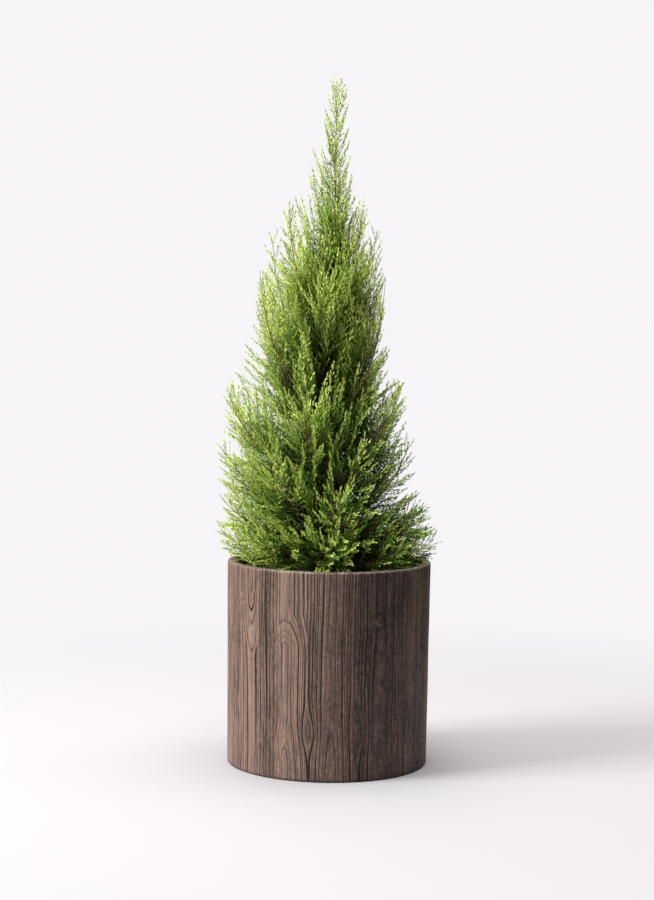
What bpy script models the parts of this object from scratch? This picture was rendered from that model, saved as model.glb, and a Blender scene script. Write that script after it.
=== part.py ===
"""Potted lemon cypress: a cone of upright plumes on one trunk, in a straight-sided round planter.

Metres, +Z up. The origin is the centre of the planter's underside, and -Y is the front.
Plumes stand in tiers round the trunk. Each grows on one stem that leaves the trunk and curves up to a
tip on the crown's outline. The three tiers in the middle have bare boughs below their foliage.
"""

import math
import random
from collections import namedtuple

import bmesh
import bpy
import numpy as np
from mathutils import Vector
from mathutils.geometry import interpolate_bezier

# Planter and soil
POT_HEIGHT = 0.378
POT_TOP_RADIUS = 0.190
POT_BASE_RADIUS = 0.187
POT_WALL = 0.017
POT_FLOOR = 0.022
POT_EDGE = 0.003
POT_SIDES = 48
SOIL_BELOW_RIM = 0.026
SOIL_MOUND = 0.006
SOIL_LEVEL_SHARE = 0.25
CLEARANCE = 0.0003

# Trunk
TRUNK_TOP = 0.940
TRUNK_BASE_RADIUS = 0.0115
TRUNK_TIP_RADIUS = 0.0020
TRUNK_BOW = Vector((-0.016, -0.005, 0.0))
TRUNK_FOOT_X = -0.004
TRUNK_LEAN = 0.006
TRUNK_TAPER = 0.9
FLARE_SPREAD = 0.010
FLARE_HEIGHT = 0.016
FLARE_LOBES = 5
FLARE_LOBE_DEPTH = 0.22
TRUNK_SIDES = 15
TRUNK_RINGS = 15
FOOT = POT_HEIGHT - SOIL_BELOW_RIM + SOIL_MOUND

# Crown: height, half width and sideways shift of its middle
CROWN = (
    (0.378, 0.186, -0.002),
    (0.430, 0.201, -0.004),
    (0.475, 0.192, -0.008),
    (0.510, 0.180, -0.023),
    (0.600, 0.175, -0.028),
    (0.700, 0.163, -0.031),
    (0.735, 0.146, -0.028),
    (0.790, 0.126, -0.026),
    (0.900, 0.117, -0.019),
    (0.945, 0.107, -0.017),
    (0.990, 0.093, -0.015),
    (1.030, 0.068, -0.016),
    (1.070, 0.049, -0.011),
    (1.100, 0.044, -0.009),
    (1.150, 0.032, -0.001),
    (1.200, 0.020, 0.000),
    (1.267, 0.003, 0.002),
)
LEADER_TIP = Vector((0.002, 0.0, 1.267))

# Tiers: left and right are x and height of the outermost tips, foot is where the lowest stem leaves
# the trunk, rise is how far up the others are spread, bare is the share of the path with no foliage
Tier = namedtuple("Tier", "name count turn left right foot rise bare limb_radius")
TIERS = (
    Tier("skirt", 8, 0, (-0.204, 0.432), (0.195, 0.418), 0.372, 0.022, 0.0, 0.0024),
    Tier("lower", 6, 30, (-0.202, 0.508), (0.183, 0.474), 0.402, 0.034, 0.18, 0.0032),
    Tier("middle", 6, 0, (-0.201, 0.592), (0.145, 0.600), 0.424, 0.060, 0.18, 0.0034),
    Tier("upper", 6, 30, (-0.190, 0.704), (0.129, 0.714), 0.482, 0.060, 0.17, 0.0032),
    Tier("shoulder", 4, 45, (-0.133, 0.915), (0.095, 0.905), 0.565, 0.060, 0.0, 0.0028),
    Tier("high", 4, 0, (-0.113, 0.975), (0.078, 0.985), 0.665, 0.055, 0.0, 0.0026),
    Tier("crest", 4, 45, (-0.083, 1.026), (0.051, 1.027), 0.775, 0.055, 0.0, 0.0024),
)
TIP_HEIGHT_SPREAD = 0.034
TURN_SPREAD = math.radians(7)
START_DROP = math.radians(15)
END_LIFT = math.radians(28)
LOWEST_START = math.radians(6)
STEEPEST_END = math.radians(86)
HANDLE = 0.36
SIDE_BOW = 0.008
GOLDEN_TURN = math.radians(137.508)
FOOT_SPIRAL = 0.764
CROWN_SEED = 11
PLUME_SEED = 100

# Boughs and the lines that stems follow
PATH_POINTS = 33
LIMB_SIDES = 7
LIMB_STEP = 0.022
LIMB_END_SHARE = 0.62

# Stems: slim cores with tiers of teeth that stand for the shortest sprays
STEM_SIDES = 5
STEM_STEP = 0.030
STEM_BARE = 0.020
STEM_REACH = 0.155
TIP_RADIUS = 0.0006
HUB_SHARE = 0.24
TOOTH_SPAN = (0.24, 0.70)
TOOTH_JITTER = 0.25
TOOTH_LEAD = 0.95
EDGE_SHARES = (0.0, 0.2, 0.4, 0.6)

# Sprays on twigs that leave the stem
SPRAY_SIDES = 3
SPRAY_STEP = 0.026
SPRAY_FIRST = 0.024
SPRAY_SPACING = 0.050
SPRAY_LENGTH = (0.120, 0.085)
SPRAY_ANGLE = (math.radians(44), math.radians(28))
SPRAY_RADIUS = 0.0017
SPRAY_BARE = 0.016
SPRAY_REACH = 0.24
SPRAY_CURL = 0.22
SPRAY_SIZES = (1.0, 0.85, 0.7, 0.55)
SPRAY_TRIES = 5
SPRAY_POINTS = 9
TURN_JITTER = 0.5
LEAN_JITTER = 0.15

# Gaps that a plume keeps to its neighbours, the limbs, the planter and the crown's outline
FITS = (1.0, 0.85, 0.7, 0.55, 0.42, 0.3, 0.2, 0.1, 0.0)
LIMB_CLEAR = 0.012
STEM_CUTS = 8
BOUGH_CUTS = 4
TRUNK_CUTS = 24
PLUME_GAP = 0.0014
LIMB_GAP = 0.0012
RIM_GAP = 0.0010
OUTLINE_SLACK = 0.006

# Plain finishes: colour and roughness
POT_FINISH = ((0.135, 0.090, 0.068), 0.75)
SOIL_FINISH = ((0.035, 0.022, 0.015), 0.95)
BARK_FINISH = ((0.190, 0.075, 0.040), 0.85)
LEAF_ROUGHNESS = 0.6
SHADE_GREEN = Vector((0.075, 0.150, 0.015))
LIGHT_GREEN = Vector((0.330, 0.450, 0.045))
LIGHT_AT_FOOT = 0.35
LIGHT_WITH_HEIGHT = 0.5
LIGHT_TO_THE_LEFT = 1.2
SOFT_EDGE = math.radians(50)


def clear_scene():
    for item in list(bpy.data.objects):
        bpy.data.objects.remove(item)


def finish(item, colour, roughness):
    """Gives an object its own plain material, and smooth shading across its softer edges."""
    item.data.shade_smooth()
    item.data.set_sharp_from_angle(angle=SOFT_EDGE)
    material = bpy.data.materials.new(item.name)
    material.use_nodes = True
    shader = material.node_tree.nodes["Principled BSDF"]
    shader.inputs["Base Color"].default_value = (*colour, 1.0)
    shader.inputs["Roughness"].default_value = roughness
    shader.inputs["Metallic"].default_value = 0.0
    item.data.materials.clear()
    item.data.materials.append(material)


def object_from(name, vertices, faces):
    """An object in the scene whose faces all point outwards."""
    mesh = bpy.data.meshes.new(name)
    mesh.from_pydata([tuple(vertex) for vertex in vertices], [], faces)
    work = bmesh.new()
    work.from_mesh(mesh)
    bmesh.ops.recalc_face_normals(work, faces=work.faces)
    work.to_mesh(mesh)
    work.free()
    item = bpy.data.objects.new(name, mesh)
    bpy.context.scene.collection.objects.link(item)
    return item


def turned(name, profile, sides):
    """A solid of revolution about Z from (radius, height) points that start and end on the axis."""
    work = bmesh.new()
    points = [work.verts.new((radius, 0.0, height)) for radius, height in profile]
    edges = [work.edges.new(pair) for pair in zip(points, points[1:])]
    bmesh.ops.spin(
        work,
        geom=points + edges,
        cent=(0, 0, 0),
        axis=(0, 0, 1),
        angle=math.tau,
        steps=sides,
        use_duplicate=False,
    )
    bmesh.ops.remove_doubles(work, verts=work.verts, dist=1e-5)
    bmesh.ops.recalc_face_normals(work, faces=work.faces)
    mesh = bpy.data.meshes.new(name)
    work.to_mesh(mesh)
    work.free()
    item = bpy.data.objects.new(name, mesh)
    bpy.context.scene.collection.objects.link(item)
    return item


def outer_radius(height):
    return POT_BASE_RADIUS + (POT_TOP_RADIUS - POT_BASE_RADIUS) * height / POT_HEIGHT


def make_planter():
    inner_top = POT_TOP_RADIUS - POT_WALL
    inner_base = outer_radius(POT_FLOOR) - POT_WALL
    profile = (
        (0.0, 0.0),
        (POT_BASE_RADIUS - POT_EDGE, 0.0),
        (outer_radius(POT_EDGE), POT_EDGE),
        (outer_radius(POT_HEIGHT - POT_EDGE), POT_HEIGHT - POT_EDGE),
        (POT_TOP_RADIUS - POT_EDGE, POT_HEIGHT),
        (inner_top + POT_EDGE, POT_HEIGHT),
        (inner_top, POT_HEIGHT - POT_EDGE),
        (inner_base, POT_FLOOR),
        (0.0, POT_FLOOR),
    )
    planter = turned("planter", profile, POT_SIDES)
    finish(planter, *POT_FINISH)


def soil_top(radius):
    """Height of the soil: level round the trunk, then falling to the wall."""
    edge = POT_TOP_RADIUS - POT_WALL
    flat = SOIL_LEVEL_SHARE * edge
    fall = min(max((radius - flat) / (edge - flat), 0.0), 1.0)
    return POT_HEIGHT - SOIL_BELOW_RIM + SOIL_MOUND * (1.0 - fall)


def make_soil():
    gap = CLEARANCE / math.cos(math.pi / POT_SIDES)
    inner_top = POT_TOP_RADIUS - POT_WALL
    inner_base = outer_radius(POT_FLOOR) - POT_WALL
    edge = inner_top - gap - (inner_top - inner_base) * SOIL_BELOW_RIM / (POT_HEIGHT - POT_FLOOR)
    profile = (
        (0.0, POT_FLOOR + CLEARANCE),
        (inner_base - gap, POT_FLOOR + CLEARANCE),
        (edge, soil_top(edge)),
        (SOIL_LEVEL_SHARE * inner_top, soil_top(0.0)),
        (0.0, soil_top(0.0)),
    )
    soil = turned("soil", profile, POT_SIDES)
    finish(soil, *SOIL_FINISH)


def trunk_share(height):
    """How far up the trunk a height is, from 0 at the soil to 1 at the tip."""
    return min((height - FOOT) / (TRUNK_TOP - FOOT), 1.0)


def trunk_centre(height):
    """Axis of the trunk: a slight lean and one long bow, upright again at the top."""
    share = trunk_share(height)
    lean = Vector((TRUNK_FOOT_X + TRUNK_LEAN * share, 0.0, height))
    return lean + TRUNK_BOW * math.sin(math.pi * share)


def trunk_radius(height):
    shaft = (TRUNK_BASE_RADIUS - TRUNK_TIP_RADIUS) * (1.0 - trunk_share(height)) ** TRUNK_TAPER
    return TRUNK_TIP_RADIUS + shaft + FLARE_SPREAD * math.exp((FOOT - height) / FLARE_HEIGHT)


def trunk_levels():
    """Heights of the trunk's rings, closest together in the root flare."""
    cut = FOOT + CLEARANCE
    return [cut + (TRUNK_TOP - cut) * (level / (TRUNK_RINGS - 1)) ** 2 for level in range(TRUNK_RINGS)]


def trunk_corners(height):
    """Corners of the trunk's cross-section, which falls back between the lobes of the root flare."""
    corners = []
    depth = FLARE_LOBE_DEPTH * math.exp((FOOT - height) / (2.0 * FLARE_HEIGHT))
    for side in range(TRUNK_SIDES):
        angle = math.tau * side / TRUNK_SIDES
        radius = trunk_radius(height) * (1.0 + depth * min(math.cos(FLARE_LOBES * angle), 0.0))
        corners.append(trunk_centre(height) + Vector((math.cos(angle), math.sin(angle), 0.0)) * radius)
    return corners


def trunk_face(height, outward):
    """How far out in a direction the trunk's faces lie at a height."""
    levels = trunk_levels()
    faces = [max(corner.dot(outward) for corner in trunk_corners(level)) for level in levels]
    return np.interp(height, levels, faces)


def ring_faces(rings, sides):
    """Quads between rings of vertices, and a cap on the first and the last."""
    faces = []
    for low in range(0, (rings - 1) * sides, sides):
        for side in range(sides):
            after = (side + 1) % sides
            faces.append((low + side, low + after, low + sides + after, low + sides + side))
    faces.append(tuple(reversed(range(sides))))
    faces.append(tuple((rings - 1) * sides + side for side in range(sides)))
    return faces


def make_trunk():
    vertices = [corner for level in trunk_levels() for corner in trunk_corners(level)]
    trunk = object_from("trunk", vertices, ring_faces(TRUNK_RINGS, TRUNK_SIDES))
    finish(trunk, *BARK_FINISH)


def crown_at(height):
    """Half width and sideways shift of the crown at a height."""
    heights, widths, shifts = zip(*CROWN)
    return np.interp(height, heights, widths), np.interp(height, heights, shifts)


class Path:
    """A smooth line that can be asked for a point and a direction at any distance along it."""

    def __init__(self, points):
        self.points = np.array([tuple(point) for point in points])
        steps = np.linalg.norm(np.diff(self.points, axis=0), axis=1)
        self.distances = np.concatenate([[0.0], np.cumsum(steps)])
        self.length = self.distances[-1]

    def at(self, distance):
        return Vector([np.interp(distance, self.distances, column) for column in self.points.T])

    def direction(self, distance):
        step = self.length / (2 * PATH_POINTS)
        ahead = self.at(min(distance + step, self.length))
        return (ahead - self.at(max(distance - step, 0.0))).normalized()

    def between(self, start, end, count):
        return [self.at(start + (end - start) * index / (count - 1)) for index in range(count)]


def plume_tips(tier, dice):
    """Tips of a tier's plumes, spaced round an oval whose outermost ones reach left and right."""
    nearest = math.radians(min(tier.turn, 360 / tier.count - tier.turn))
    middle = (tier.left[0] + tier.right[0]) / 2.0
    reach = (tier.right[0] - tier.left[0]) / 2.0
    height = (tier.left[1] + tier.right[1]) / 2.0
    slope = (tier.right[1] - tier.left[1]) / 2.0
    for index in range(tier.count):
        angle = math.radians(tier.turn) + math.tau * index / tier.count
        across = math.cos(angle) / math.cos(nearest)
        inner = 1.0 - min(abs(across), 1.0)
        angle += dice.uniform(-1.0, 1.0) * TURN_SPREAD * inner
        lift = dice.uniform(-1.0, 1.0) * TIP_HEIGHT_SPREAD * inner
        across = math.cos(angle) / math.cos(nearest)
        yield Vector((middle + reach * across, reach * math.sin(angle), height + slope * across + lift))


def stem_path(foot, tip, radius, bow):
    """From the trunk's surface at the height foot, outwards and then up to the tip."""
    centre = trunk_centre(foot)
    outward = Vector((tip.x - centre.x, tip.y - centre.y, 0.0)).normalized()
    face = max(trunk_face(foot - radius, outward), trunk_face(foot + radius, outward))
    start = centre + outward * (face - centre.dot(outward) + CLEARANCE)
    chord = tip - start
    slope = math.atan2(chord.z, Vector((chord.x, chord.y)).length)
    first = max(slope - START_DROP, LOWEST_START)
    last = min(slope + END_LIFT, STEEPEST_END)
    up = Vector((0.0, 0.0, 1.0))
    handle = HANDLE * chord.length
    leave = start + (outward * math.cos(first) + up * math.sin(first)) * handle
    arrive = tip - (outward * math.cos(last) + up * math.sin(last)) * handle
    points = interpolate_bezier(start, leave, arrive, tip, PATH_POINTS)
    sideways = up.cross(outward)
    for index, point in enumerate(points):
        point += sideways * bow * math.sin(math.pi * index / (PATH_POINTS - 1)) ** 2
    return Path(points), outward


Plume = namedtuple("Plume", "name path outward bare radius seed")


def plan_plumes():
    """Every plume of the crown, with the path of its stem and the bare length below its foliage."""
    dice = random.Random(CROWN_SEED)
    plumes = []
    for tier in TIERS:
        for index, tip in enumerate(plume_tips(tier, dice)):
            foot = tier.foot + tier.rise * ((index * FOOT_SPIRAL) % 1.0)
            bow = dice.uniform(-1.0, 1.0) * SIDE_BOW
            path, outward = stem_path(foot, tip, tier.limb_radius, bow)
            name = f"{tier.name}_{index + 1}"
            bare = tier.bare * path.length
            plumes.append(Plume(name, path, outward, bare, tier.limb_radius, PLUME_SEED + len(plumes)))
    top = trunk_centre(TRUNK_TOP)
    path = Path([top.lerp(LEADER_TIP, share / STEM_CUTS) for share in range(STEM_CUTS + 1)])
    plumes.append(Plume("leader", path, None, 0.0, TRUNK_TIP_RADIUS, PLUME_SEED + len(plumes)))
    return plumes


def ring(centre, along, side, radius, sides, offset=0.0):
    """Points of a circle round a direction. The first lies towards side, or offset steps on from it."""
    across = (side - along * side.dot(along)).normalized()
    over = along.cross(across)
    turns = [math.tau * (index + offset) / sides for index in range(sides)]
    return [centre + (across * math.cos(turn) + over * math.sin(turn)) * radius for turn in turns]


def side_of(plume):
    """A level direction across a plume, which its rings are lined up with."""
    if plume.outward is None:
        return Vector((1.0, 0.0, 0.0))
    return Vector((0.0, 0.0, 1.0)).cross(plume.outward)


def make_bough(plume):
    """A tapering limb. Its first ring lies flat against the trunk, its last meets the foliage."""
    end = plume.bare - CLEARANCE
    count = round(end / LIMB_STEP) + 1
    vertices = []
    for index in range(count):
        share = index / (count - 1)
        plane = plume.path.direction(end * share) if index else plume.outward
        radius = plume.radius * (1.0 + (LIMB_END_SHARE - 1.0) * share)
        vertices += ring(plume.path.at(end * share), plane, side_of(plume), radius, LIMB_SIDES)
    bough = object_from("bough_" + plume.name, vertices, ring_faces(count, LIMB_SIDES))
    finish(bough, *BARK_FINISH)


def distances_to(points, starts, ends):
    """Distance from each point to the nearest place on each segment."""
    run = ends - starts
    share = ((points[:, None] - starts) * run).sum(2) / (run * run).sum(1)
    nearest = starts + run * np.clip(share, 0.0, 1.0)[..., None]
    return np.linalg.norm(points[:, None] - nearest, axis=2)


def segments(lines):
    """Start and end of each straight piece of several lines of points."""
    arrays = [np.array([tuple(point) for point in line]) for line in lines]
    starts = np.concatenate([array[:-1] for array in arrays])
    return starts, np.concatenate([array[1:] for array in arrays])


class Space:
    """Tells whether a twig or spray stays in its plume's own space and off every limb."""

    def __init__(self, plumes):
        stems = [plume.path.between(plume.bare, plume.path.length, STEM_CUTS + 1) for plume in plumes]
        boughs = [plume for plume in plumes if plume.bare]
        limbs = [plume.path.between(0.0, plume.bare, BOUGH_CUTS + 1) for plume in boughs]
        radii = [[plume.radius] * BOUGH_CUTS for plume in boughs]
        heights = np.linspace(FOOT, TRUNK_TOP, TRUNK_CUTS + 1)
        limbs.append([trunk_centre(height) for height in heights])
        radii.append([trunk_radius(height) for height in heights[:-1]])
        self.stem_starts, self.stem_ends = segments(stems)
        self.limb_starts, self.limb_ends = segments(limbs)
        self.limb_radii = np.concatenate(radii)
        self.owner = np.repeat(np.arange(len(plumes)), STEM_CUTS)

    def holds(self, points, own):
        """Whether every point is clear of the planter, soil, outline, limbs and other plumes."""
        if not len(points):
            return True
        height = points[:, 2]
        radius = np.hypot(points[:, 0], points[:, 1])
        floor = np.where(radius < POT_TOP_RADIUS - POT_WALL - RIM_GAP, FOOT, POT_HEIGHT)
        if (height < floor + RIM_GAP).any():
            return False
        wide, shift = crown_at(height)
        if (np.hypot(points[:, 0] - shift, points[:, 1]) > wide + OUTLINE_SLACK).any():
            return False
        gaps = distances_to(points, self.limb_starts, self.limb_ends)
        if (gaps < self.limb_radii + LIMB_GAP).any():
            return False
        gaps = distances_to(points, self.stem_starts, self.stem_ends)
        mine = gaps[:, self.owner == own].min(1)
        others = gaps[:, self.owner != own].min(1)
        return bool((mine + PLUME_GAP < others).all())


def turned_away(along, side, lean, turn):
    """A direction that leans away from along by an angle, towards side turned round along."""
    across = (side - along * side.dot(along)).normalized()
    over = along.cross(across)
    outward = across * math.cos(turn) + over * math.sin(turn)
    return along * math.cos(lean) + outward * math.sin(lean)


class Grower:
    """Grows the stem and the sprays of one plume inside its own space."""

    def __init__(self, plume, own, space):
        self.plume = plume
        self.own = own
        self.space = space
        self.dice = random.Random(plume.seed)

    def fits(self, points):
        return self.space.holds(np.array([tuple(point) for point in points]), self.own)

    def room(self, centre, ray, thin, swell):
        """The furthest point along a ray that stays in the plume's space."""
        for fit in FITS:
            place = centre + ray * (thin + swell * fit)
            if self.fits([place]):
                return place
        return centre + ray * thin

    def tooth(self, tip, base):
        """The tip, drawn back towards the base until all three of its edges stay in the space."""
        root = self.plume.path.at(self.plume.bare)
        middle = (base[0] + base[1] + base[2]) / 3.0
        for fit in FITS:
            place = middle.lerp(tip, fit)
            points = [place.lerp(corner, share) for corner in base for share in EDGE_SHARES]
            if self.fits([point for point in points if (point - root).length > LIMB_CLEAR]):
                break
        return place

    def toothed(self, name, line, side, radii, reach, sides, step, bare, foot_plane=None):
        """A slim tapering core with tiers of forward teeth, as one solid."""
        tiers = max(2, round((line.length - bare) / step))
        step = (line.length - bare) / tiers
        places = [0.0] * bool(bare) + [bare + step * tier for tier in range(tiers + 1)]
        hubs = []
        for index, place in enumerate(places):
            share = place / line.length
            along = foot_plane if index == 0 and foot_plane else line.direction(place)
            thin = radii[0] + (radii[1] - radii[0]) * share
            swell = HUB_SHARE * reach * math.sin(math.pi * share)
            rays = ring(line.at(place), along, side, 1.0, sides, 0.5 * index)
            hubs.append([self.room(line.at(place), ray - line.at(place), thin, swell) for ray in rays])
        vertices = [vertex for hub in hubs for vertex in hub]
        last = len(vertices) - sides
        faces = [tuple(reversed(range(sides))), tuple(range(last, last + sides))]
        for index in range(len(hubs) - 1):
            toothless = (bare and index == 0) or index == len(hubs) - 2
            spread = math.sin(math.pi * (TOOTH_SPAN[0] + TOOTH_SPAN[1] * places[index] / line.length))
            lead = min(places[index + 1] + TOOTH_LEAD * step, line.length)
            rays = ring(line.at(lead), line.direction(lead), side, 1.0, sides, 0.5 * index + 0.5)
            for place, ray in enumerate(rays):
                after = (place + 1) % sides
                low = (index * sides + place, index * sides + after)
                high = (low[0] + sides, low[1] + sides)
                faces.append((low[1], high[1], high[0]))
                if toothless:
                    faces.append((low[0], low[1], high[0]))
                    continue
                jitter = 1.0 + TOOTH_JITTER * self.dice.uniform(-1.0, 1.0)
                out = line.at(lead) + (ray - line.at(lead)) * (reach * spread * jitter)
                tip = len(vertices)
                vertices.append(self.tooth(out, (vertices[low[0]], vertices[low[1]], vertices[high[0]])))
                faces += [(low[0], low[1], tip), (low[0], tip, high[0]), (tip, low[1], high[0])]
        return object_from(name, vertices, faces)

    def spray_line(self, root, along, side, length, turn, lean):
        """The line of the longest spray that fits, after a few tries at each length."""
        for size in SPRAY_SIZES:
            for _ in range(SPRAY_TRIES):
                new_turn = turn + self.dice.uniform(-1.0, 1.0) * TURN_JITTER
                new_lean = lean + self.dice.uniform(-1.0, 1.0) * LEAN_JITTER
                heading = turned_away(along, side, new_lean, new_turn)
                curl = along * (SPRAY_CURL * length * size)
                shares = np.linspace(0.0, 1.0, SPRAY_POINTS)
                points = [root + heading * (length * size * share) + curl * share**2 for share in shares]
                if self.fits(points[2:]):
                    return Path(points)
        return None

    def grow(self):
        """The plume's stem, and the sprays that are still to be joined to it."""
        plume = self.plume
        side = side_of(plume)
        on_trunk = not plume.bare
        start = 0.0 if on_trunk and plume.outward else plume.bare + CLEARANCE
        line = Path(plume.path.between(start, plume.path.length, PATH_POINTS))
        foot = plume.radius if on_trunk else LIMB_END_SHARE * plume.radius
        reach = STEM_REACH * line.length
        bare = STEM_BARE if on_trunk else 0.0
        plane = plume.outward if on_trunk else None
        name = "foliage_" + plume.name
        radii = (foot, TIP_RADIUS)
        stem = self.toothed(name, line, side, radii, reach, STEM_SIDES, STEM_STEP, bare, plane)
        sprays = []
        turn = self.dice.uniform(0.0, math.tau)
        distance = SPRAY_FIRST
        while distance < line.length - SPRAY_LENGTH[1]:
            share = distance / line.length
            lean = SPRAY_ANGLE[0] + (SPRAY_ANGLE[1] - SPRAY_ANGLE[0]) * share
            length = SPRAY_LENGTH[0] + (SPRAY_LENGTH[1] - SPRAY_LENGTH[0]) * share
            along = line.direction(distance)
            found = self.spray_line(line.at(distance), along, side, length, turn, lean)
            if found:
                reach = SPRAY_REACH * found.length
                radii = (SPRAY_RADIUS, TIP_RADIUS)
                sprays.append(
                    self.toothed("spray", found, along, radii, reach, SPRAY_SIDES, SPRAY_STEP, SPRAY_BARE)
                )
            distance += SPRAY_SPACING
            turn += GOLDEN_TURN
        return stem, sprays


def fuse(body, pieces):
    """Joins overlapping pieces to a body with one union, then drops scraps and sealed hollows."""
    group = bpy.data.collections.new(body.name + "_pieces")
    bpy.context.scene.collection.children.link(group)
    for piece in pieces:
        bpy.context.scene.collection.objects.unlink(piece)
        group.objects.link(piece)
    union = body.modifiers.new("union", "BOOLEAN")
    union.operation = "UNION"
    union.operand_type = "COLLECTION"
    union.collection = group
    graph = bpy.context.evaluated_depsgraph_get()
    joined = bpy.data.meshes.new_from_object(body.evaluated_get(graph))
    body.modifiers.clear()
    body.data = joined
    for piece in pieces:
        bpy.data.objects.remove(piece)
    bpy.data.collections.remove(group)
    keep_largest_shell(joined)


def keep_largest_shell(mesh):
    work = bmesh.new()
    work.from_mesh(mesh)
    waiting = set(work.verts)
    shells = []
    while waiting:
        front = [waiting.pop()]
        shell = set(front)
        while front:
            vertex = front.pop()
            near = {edge.other_vert(vertex) for edge in vertex.link_edges} & waiting
            waiting -= near
            shell |= near
            front += near
        shells.append(shell)
    shells.sort(key=len)
    scraps = [vertex for shell in shells[:-1] for vertex in shell]
    bmesh.ops.delete(work, geom=scraps, context="VERTS")
    work.to_mesh(mesh)
    work.free()


def leaf_colour(plume):
    """Lighter on the high plumes and on the left, as the tips there are the youngest."""
    tip = plume.path.at(plume.path.length)
    height = (tip.z - POT_HEIGHT) / (LEADER_TIP.z - POT_HEIGHT)
    light = LIGHT_AT_FOOT + LIGHT_WITH_HEIGHT * height - LIGHT_TO_THE_LEFT * tip.x
    return SHADE_GREEN.lerp(LIGHT_GREEN, min(max(light, 0.0), 1.0))


def make_plumes():
    plumes = plan_plumes()
    space = Space(plumes)
    for own, plume in enumerate(plumes):
        if plume.bare:
            make_bough(plume)
        stem, sprays = Grower(plume, own, space).grow()
        fuse(stem, sprays)
        finish(stem, leaf_colour(plume), LEAF_ROUGHNESS)


clear_scene()
make_planter()
make_soil()
make_trunk()
make_plumes()
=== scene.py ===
"""Potted lemon cypress with its bark, twigs, scale leaves, potting soil and cast wood-grain planter.

Metres, +Z up. The origin is the centre of the planter's underside, and -Y is the front.
Stems follow the same curves as the solids. Sprays, twiglets and sprigs branch from them by one rule.
"""

import math
import random
from collections import namedtuple

import bpy
import numpy as np
from mathutils import Euler, Matrix, Vector
from mathutils.geometry import interpolate_bezier


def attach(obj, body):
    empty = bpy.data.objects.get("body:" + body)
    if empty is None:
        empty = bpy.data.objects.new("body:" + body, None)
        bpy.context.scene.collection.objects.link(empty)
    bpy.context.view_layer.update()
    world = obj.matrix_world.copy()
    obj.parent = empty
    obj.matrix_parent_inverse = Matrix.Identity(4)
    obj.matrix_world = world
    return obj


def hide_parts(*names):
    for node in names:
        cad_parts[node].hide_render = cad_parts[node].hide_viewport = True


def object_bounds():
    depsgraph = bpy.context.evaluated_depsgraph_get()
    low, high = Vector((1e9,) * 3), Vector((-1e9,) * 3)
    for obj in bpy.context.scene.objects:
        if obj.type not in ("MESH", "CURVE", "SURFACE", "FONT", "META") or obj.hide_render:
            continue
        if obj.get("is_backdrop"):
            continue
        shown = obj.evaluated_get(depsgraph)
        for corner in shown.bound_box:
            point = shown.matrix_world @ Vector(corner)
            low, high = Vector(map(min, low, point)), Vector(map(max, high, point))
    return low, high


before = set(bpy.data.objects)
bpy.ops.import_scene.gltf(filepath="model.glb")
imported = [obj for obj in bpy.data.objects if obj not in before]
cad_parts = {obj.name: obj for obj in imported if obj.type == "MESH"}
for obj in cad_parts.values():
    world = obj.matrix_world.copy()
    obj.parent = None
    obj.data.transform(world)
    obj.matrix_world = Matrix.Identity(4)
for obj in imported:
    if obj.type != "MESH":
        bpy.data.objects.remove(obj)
CAD_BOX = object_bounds()

# Planter and soil
POT_HEIGHT = 0.378
POT_TOP_RADIUS = 0.190
POT_BASE_RADIUS = 0.187
POT_WALL = 0.017
POT_FLOOR = 0.022
POT_COLUMNS = 1008
POT_ROWS = 80
POT_INNER_COLUMNS = 84
SOIL_BELOW_RIM = 0.026
SOIL_MOUND = 0.006
SOIL_LEVEL_SHARE = 0.25
CLEARANCE = 0.0003

# Trunk
TRUNK_TOP = 0.940
TRUNK_BASE_RADIUS = 0.0115
TRUNK_TIP_RADIUS = 0.0020
TRUNK_BOW = Vector((-0.016, -0.005, 0.0))
TRUNK_FOOT_X = -0.004
TRUNK_LEAN = 0.006
TRUNK_TAPER = 0.9
FLARE_SPREAD = 0.010
FLARE_HEIGHT = 0.016
FLARE_LOBES = 5
FLARE_LOBE_DEPTH = 0.22
FOOT = POT_HEIGHT - SOIL_BELOW_RIM + SOIL_MOUND

# Crown: height, half width and sideways shift of its middle
CROWN = (
    (0.378, 0.186, -0.002),
    (0.430, 0.201, -0.004),
    (0.475, 0.192, -0.008),
    (0.510, 0.180, -0.023),
    (0.600, 0.175, -0.028),
    (0.700, 0.163, -0.031),
    (0.735, 0.146, -0.028),
    (0.790, 0.126, -0.026),
    (0.900, 0.117, -0.019),
    (0.945, 0.107, -0.017),
    (0.990, 0.093, -0.015),
    (1.030, 0.068, -0.016),
    (1.070, 0.049, -0.011),
    (1.100, 0.044, -0.009),
    (1.150, 0.032, -0.001),
    (1.200, 0.020, 0.000),
    (1.267, 0.003, 0.002),
)
LEADER_TIP = Vector((0.002, 0.0, 1.267))

# Tiers of plumes, as in the solids
Tier = namedtuple("Tier", "name count turn left right foot rise bare limb_radius")
TIERS = (
    Tier("skirt", 8, 0, (-0.204, 0.432), (0.195, 0.418), 0.372, 0.022, 0.0, 0.0024),
    Tier("lower", 6, 30, (-0.202, 0.508), (0.183, 0.474), 0.402, 0.034, 0.18, 0.0032),
    Tier("middle", 6, 0, (-0.201, 0.592), (0.145, 0.600), 0.424, 0.060, 0.18, 0.0034),
    Tier("upper", 6, 30, (-0.190, 0.704), (0.129, 0.714), 0.482, 0.060, 0.17, 0.0032),
    Tier("shoulder", 4, 45, (-0.133, 0.915), (0.095, 0.905), 0.565, 0.060, 0.0, 0.0028),
    Tier("high", 4, 0, (-0.113, 0.975), (0.078, 0.985), 0.665, 0.055, 0.0, 0.0026),
    Tier("crest", 4, 45, (-0.083, 1.026), (0.051, 1.027), 0.775, 0.055, 0.0, 0.0024),
)
TIP_HEIGHT_SPREAD = 0.034
TURN_SPREAD = math.radians(7)
START_DROP = math.radians(15)
END_LIFT = math.radians(28)
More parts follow.
